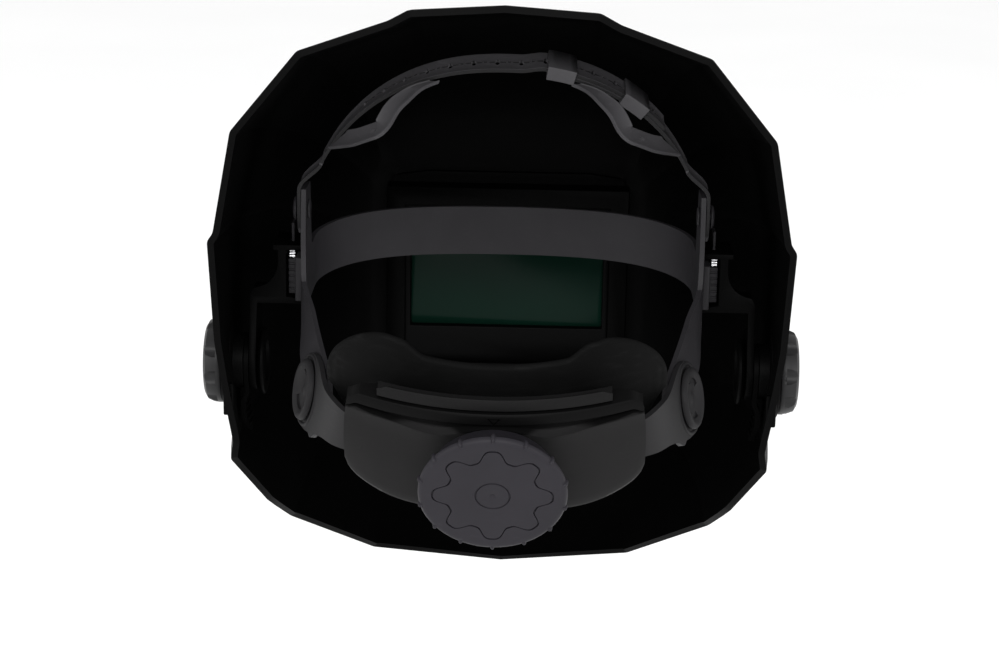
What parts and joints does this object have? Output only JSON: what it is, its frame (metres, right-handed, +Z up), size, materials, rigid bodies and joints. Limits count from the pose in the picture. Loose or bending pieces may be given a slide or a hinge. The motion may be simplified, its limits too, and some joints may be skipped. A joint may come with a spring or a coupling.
{
  "type": "welding helmet",
  "caption": "Black welding helmet: a moulded face shell with window that tilts on a plastic ratchet headgear with crown straps and nape pad.",
  "frame": {"origin": "centre of the underside of the front crown strap, where the top of the head sits", "axes": "+Z up, -Y to the window and the front of the face, +X to the wearer's left"},
  "size_m": [0.2556, 0.3039, 0.294],
  "materials": {
    "black_plastic": "satin moulded",
    "headgear_plastic": "satin moulded",
    "pad_rubber": "matt",
    "latch_steel": "bright plated",
    "cover_lens_clear": "clear gloss",
    "filter_green": "dark gloss"
  },
  "bodies": {
    "headgear": {"headband": "headgear_plastic", "crown_strap_left": "headgear_plastic", "crown_strap_right": "headgear_plastic", "crown_strap_rear": "headgear_plastic", "crown_pin_left": "headgear_plastic", "crown_pin_right": "headgear_plastic", "strap_loop_inner": "headgear_plastic", "strap_loop_outer": "headgear_plastic", "rear_arm_left": "headgear_plastic", "rear_arm_right": "headgear_plastic", "disc_pivot_left": "headgear_plastic", "disc_pivot_right": "headgear_plastic", "slide_track_left": "headgear_plastic", "slide_track_right": "headgear_plastic", "nape_pad": "pad_rubber", "ratchet_cover": "black_plastic", "ratchet_back": "black_plastic", "ratchet_knob": "headgear_plastic"},
    "carriage": {"side_arm_left": "black_plastic", "side_arm_right": "black_plastic", "pivot_bolt_left": "black_plastic", "pivot_bolt_right": "black_plastic", "slide_latch_left": "latch_steel", "slide_latch_right": "latch_steel"},
    "shell": {"shell": "black_plastic", "cover_lens": "cover_lens_clear", "filter_housing": "black_plastic", "filter_glass": "filter_green", "filter_frame": "black_plastic"},
    "tension_knob_left": {"tension_knob_left": "black_plastic"},
    "tension_knob_right": {"tension_knob_right": "black_plastic"},
    "angle_lever_left": {"angle_lever_left": "black_plastic"},
    "angle_lever_right": {"angle_lever_right": "black_plastic"}
  },
  "joints": [
    {"name": "fore_aft_slide", "type": "slide", "parent": "headgear", "child": "carriage", "axis": [0, 1, 0], "range_m": [-0.01, 0.01]},
    {"name": "shell_tilt", "type": "hinge", "parent": "carriage", "child": "shell", "pos_m": [0, -0.015, -0.134], "axis": [-1, 0, 0], "range_deg": [0, 60]},
    {"name": "tension_knob_left_turn", "type": "hinge", "parent": "carriage", "child": "tension_knob_left", "pos_m": [0, -0.015, -0.134], "axis": [1, 0, 0], "range_deg": [0, 180]},
    {"name": "angle_lever_left_turn", "type": "hinge", "parent": "carriage", "child": "angle_lever_left", "pos_m": [0, -0.015, -0.134], "axis": [1, 0, 0], "range_deg": [-12, 12]},
    {"name": "tension_knob_right_turn", "type": "hinge", "parent": "carriage", "child": "tension_knob_right", "pos_m": [0, -0.015, -0.134], "axis": [-1, 0, 0], "range_deg": [0, 180]},
    {"name": "angle_lever_right_turn", "type": "hinge", "parent": "carriage", "child": "angle_lever_right", "pos_m": [0, -0.015, -0.134], "axis": [1, 0, 0], "range_deg": [-12, 12]}
  ]
}
